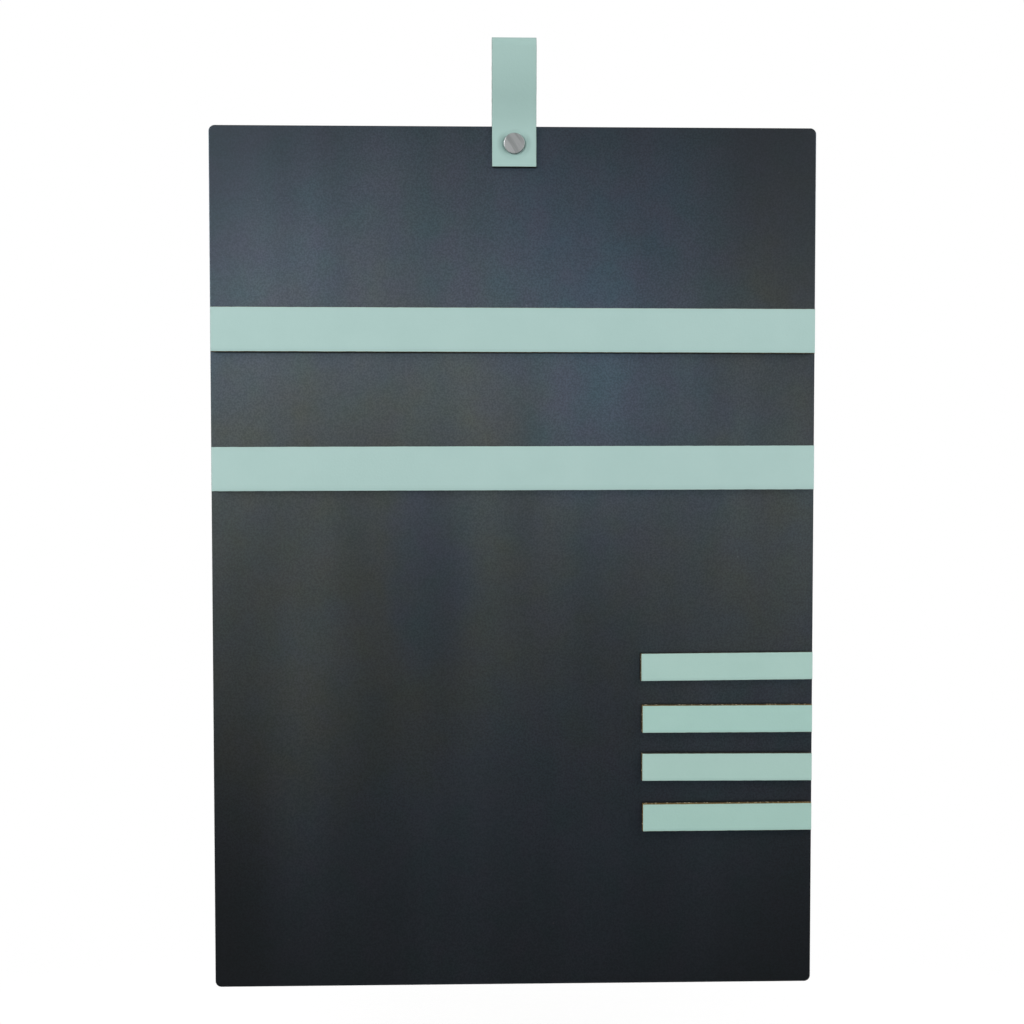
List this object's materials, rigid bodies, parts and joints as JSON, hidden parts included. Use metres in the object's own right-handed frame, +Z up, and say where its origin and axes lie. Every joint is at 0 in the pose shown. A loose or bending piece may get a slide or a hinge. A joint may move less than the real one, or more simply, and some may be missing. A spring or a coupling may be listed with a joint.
{
  "type": "magnetic memo board",
  "caption": "Upright steel memo sheet on a leather hanging loop, with two long and four short magnetic leather strips that slide on its face to hold notes.",
  "frame": {"origin": "centre of the hanging eye, the inside of the loop's fold, where a hook or nail carries the board", "axes": "+X to the right across the board and along the eye, +Y towards the wall, +Z up; the notes' side faces -Y and the sheet's middle plane is y = 0"},
  "size_m": [0.35, 0.0124, 0.5506],
  "materials": {
    "steel": "dark blue-grey rolled steel, satin, faintly mottled",
    "mint_leather": "smooth mint-coloured leather with raw tan cut edges",
    "fastener_steel": "satin",
    "magnet_tape": "flexible magnetic tape, dark, matt"
  },
  "bodies": {
    "board": {"board": "steel"},
    "hanger": {"hanger_loop": "mint_leather", "hanger_post": "fastener_steel", "hanger_screw": "fastener_steel"},
    "upper_strip": {"upper_strip": "mint_leather", "upper_strip_tape": "magnet_tape"},
    "lower_strip": {"lower_strip": "mint_leather", "lower_strip_tape": "magnet_tape"},
    "short_strip_1": {"short_strip_1": "mint_leather", "short_strip_1_tape": "magnet_tape"},
    "short_strip_2": {"short_strip_2": "mint_leather", "short_strip_2_tape": "magnet_tape"},
    "short_strip_3": {"short_strip_3": "mint_leather", "short_strip_3_tape": "magnet_tape"},
    "short_strip_4": {"short_strip_4": "mint_leather", "short_strip_4_tape": "magnet_tape"}
  },
  "joints": [
    {"name": "hanger_swivel", "type": "hinge", "parent": "board", "child": "hanger", "pos_m": [0, 0, -0.0546], "axis": [0, 1, 0], "range_deg": [-60, 60]},
    {"name": "upper_strip_slide", "type": "slide", "parent": "board", "child": "upper_strip", "axis": [0, 0, 1], "range_m": [-0.025, 0.07]},
    {"name": "lower_strip_slide", "type": "slide", "parent": "board", "child": "lower_strip", "axis": [0, 0, 1], "range_m": [-0.08, 0.025]},
    {"name": "short_strip_1_slide", "type": "slide", "parent": "board", "child": "short_strip_1", "axis": [1, 0, 0], "range_m": [-0.247, 0]},
    {"name": "short_strip_2_slide", "type": "slide", "parent": "board", "child": "short_strip_2", "axis": [1, 0, 0], "range_m": [-0.247, 0]},
    {"name": "short_strip_3_slide", "type": "slide", "parent": "board", "child": "short_strip_3", "axis": [1, 0, 0], "range_m": [-0.247, 0]},
    {"name": "short_strip_4_slide", "type": "slide", "parent": "board", "child": "short_strip_4", "axis": [1, 0, 0], "range_m": [-0.247, 0]}
  ]
}
